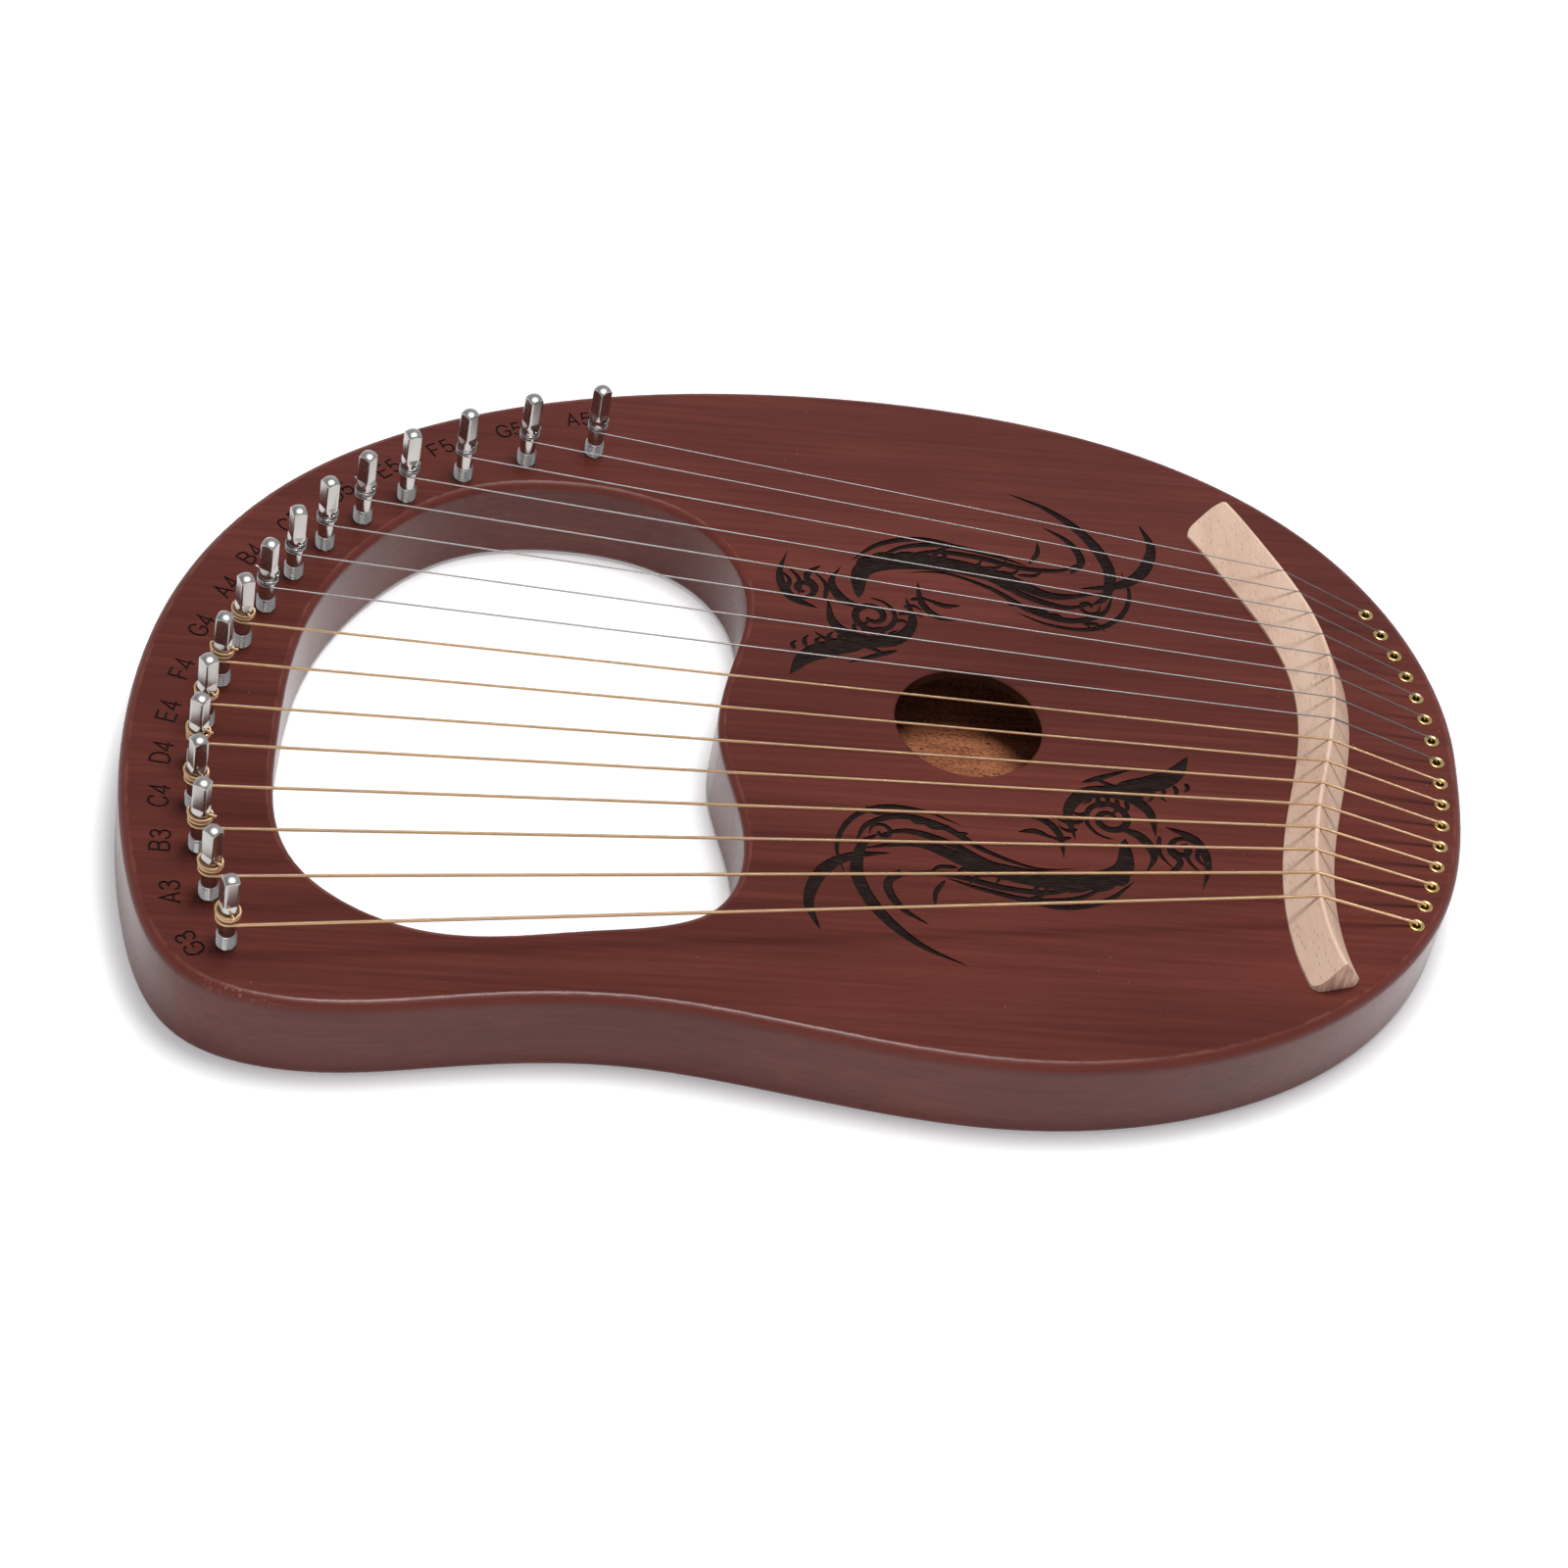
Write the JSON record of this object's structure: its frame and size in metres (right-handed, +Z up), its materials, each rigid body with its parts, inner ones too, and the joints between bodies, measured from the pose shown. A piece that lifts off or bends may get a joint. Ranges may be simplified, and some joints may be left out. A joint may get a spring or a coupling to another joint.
{
  "type": "lyre",
  "caption": "Hand-held lyre: a flat hollow wooden body with a hand opening, a curved bridge and parallel strings held by turnable tuning pins.",
  "frame": {"origin": "under the middle of the body's outline, on the surface that the back rests on", "axes": "+X runs along the strings from the tuning pins to the tail, +Y to the treble (short-string) side, +Z up out of the soundboard"},
  "size_m": [0.3761, 0.2639, 0.052],
  "materials": {
    "stained_wood": "red-brown mahogany stain under satin lacquer",
    "pale_wood": "bare sanded beech with fine flecks",
    "brace_wood": "bare spruce",
    "brass": "polished",
    "pin_steel": "nickel-plated, slightly scuffed",
    "plain_wire": "drawn plain steel wire",
    "wound_wire": "phosphor-bronze winding"
  },
  "bodies": {
    "body": {"soundboard": "stained_wood", "side_frame": "stained_wood", "back_plate": "stained_wood", "bridge": "pale_wood", "soundboard_brace_1": "brace_wood", "soundboard_brace_2": "brace_wood", "string_eyelets": "brass", "string_ball_ends": "brass", "string_A5": "plain_wire", "string_G5": "plain_wire", "string_F5": "plain_wire", "string_E5": "plain_wire", "string_D5": "plain_wire", "string_C5": "plain_wire", "string_B4": "plain_wire", "string_A4": "plain_wire", "string_G4": "wound_wire", "string_F4": "wound_wire", "string_E4": "wound_wire", "string_D4": "wound_wire", "string_C4": "wound_wire", "string_B3": "wound_wire", "string_A3": "wound_wire", "string_G3": "wound_wire"},
    "pin_A5": {"tuning_pin_A5": "pin_steel", "string_coil_A5": "plain_wire"},
    "pin_G5": {"tuning_pin_G5": "pin_steel", "string_coil_G5": "plain_wire"},
    "pin_F5": {"tuning_pin_F5": "pin_steel", "string_coil_F5": "plain_wire"},
    "pin_E5": {"tuning_pin_E5": "pin_steel", "string_coil_E5": "plain_wire"},
    "pin_D5": {"tuning_pin_D5": "pin_steel", "string_coil_D5": "plain_wire"},
    "pin_C5": {"tuning_pin_C5": "pin_steel", "string_coil_C5": "plain_wire"},
    "pin_B4": {"tuning_pin_B4": "pin_steel", "string_coil_B4": "plain_wire"},
    "pin_A4": {"tuning_pin_A4": "pin_steel", "string_coil_A4": "plain_wire"},
    "pin_G4": {"tuning_pin_G4": "pin_steel", "string_coil_G4": "wound_wire"},
    "pin_F4": {"tuning_pin_F4": "pin_steel", "string_coil_F4": "wound_wire"},
    "pin_E4": {"tuning_pin_E4": "pin_steel", "string_coil_E4": "wound_wire"},
    "pin_D4": {"tuning_pin_D4": "pin_steel", "string_coil_D4": "wound_wire"},
    "pin_C4": {"tuning_pin_C4": "pin_steel", "string_coil_C4": "wound_wire"},
    "pin_B3": {"tuning_pin_B3": "pin_steel", "string_coil_B3": "wound_wire"},
    "pin_A3": {"tuning_pin_A3": "pin_steel", "string_coil_A3": "wound_wire"},
    "pin_G3": {"tuning_pin_G3": "pin_steel", "string_coil_G3": "wound_wire"}
  },
  "joints": [
    {"name": "tune_A5", "type": "hinge", "parent": "body", "child": "pin_A5", "pos_m": [-0.0572, 0.0968, 0.027], "axis": [0, 0, -1], "range_deg": [-675, 120]},
    {"name": "tune_G5", "type": "hinge", "parent": "body", "child": "pin_G5", "pos_m": [-0.07723, 0.09053, 0.027], "axis": [0, 0, -1], "range_deg": [-675, 120]},
    {"name": "tune_F5", "type": "hinge", "parent": "body", "child": "pin_F5", "pos_m": [-0.09572, 0.0817, 0.027], "axis": [0, 0, -1], "range_deg": [-675, 120]},
    {"name": "tune_E5", "type": "hinge", "parent": "body", "child": "pin_E5", "pos_m": [-0.11202, 0.07101, 0.027], "axis": [0, 0, -1], "range_deg": [-675, 120]},
    {"name": "tune_D5", "type": "hinge", "parent": "body", "child": "pin_D5", "pos_m": [-0.12446, 0.06018, 0.027], "axis": [0, 0, -1], "range_deg": [-675, 120]},
    {"name": "tune_C5", "type": "hinge", "parent": "body", "child": "pin_C5", "pos_m": [-0.13493, 0.04809, 0.027], "axis": [0, 0, -1], "range_deg": [-675, 120]},
    {"name": "tune_B4", "type": "hinge", "parent": "body", "child": "pin_B4", "pos_m": [-0.14344, 0.03514, 0.027], "axis": [0, 0, -1], "range_deg": [-675, 120]},
    {"name": "tune_A4", "type": "hinge", "parent": "body", "child": "pin_A4", "pos_m": [-0.15076, 0.02092, 0.027], "axis": [0, 0, -1], "range_deg": [-675, 120]},
    {"name": "tune_G4", "type": "hinge", "parent": "body", "child": "pin_G4", "pos_m": [-0.15692, 0.00615, 0.027], "axis": [0, 0, -1], "range_deg": [-675, 120]},
    {"name": "tune_F4", "type": "hinge", "parent": "body", "child": "pin_F4", "pos_m": [-0.16204, -0.00954, 0.027], "axis": [0, 0, -1], "range_deg": [-675, 120]},
    {"name": "tune_E4", "type": "hinge", "parent": "body", "child": "pin_E4", "pos_m": [-0.16565, -0.02615, 0.027], "axis": [0, 0, -1], "range_deg": [-675, 120]},
    {"name": "tune_D4", "type": "hinge", "parent": "body", "child": "pin_D4", "pos_m": [-0.16714, -0.04107, 0.027], "axis": [0, 0, -1], "range_deg": [-675, 120]},
    {"name": "tune_C4", "type": "hinge", "parent": "body", "child": "pin_C4", "pos_m": [-0.16702, -0.05657, 0.027], "axis": [0, 0, -1], "range_deg": [-675, 120]},
    {"name": "tune_B3", "type": "hinge", "parent": "body", "child": "pin_B3", "pos_m": [-0.1654, -0.07198, 0.027], "axis": [0, 0, -1], "range_deg": [-675, 120]},
    {"name": "tune_A3", "type": "hinge", "parent": "body", "child": "pin_A3", "pos_m": [-0.16208, -0.08865, 0.027], "axis": [0, 0, -1], "range_deg": [-675, 120]},
    {"name": "tune_G3", "type": "hinge", "parent": "body", "child": "pin_G3", "pos_m": [-0.157, -0.1054, 0.027], "axis": [0, 0, -1], "range_deg": [-675, 120]}
  ]
}
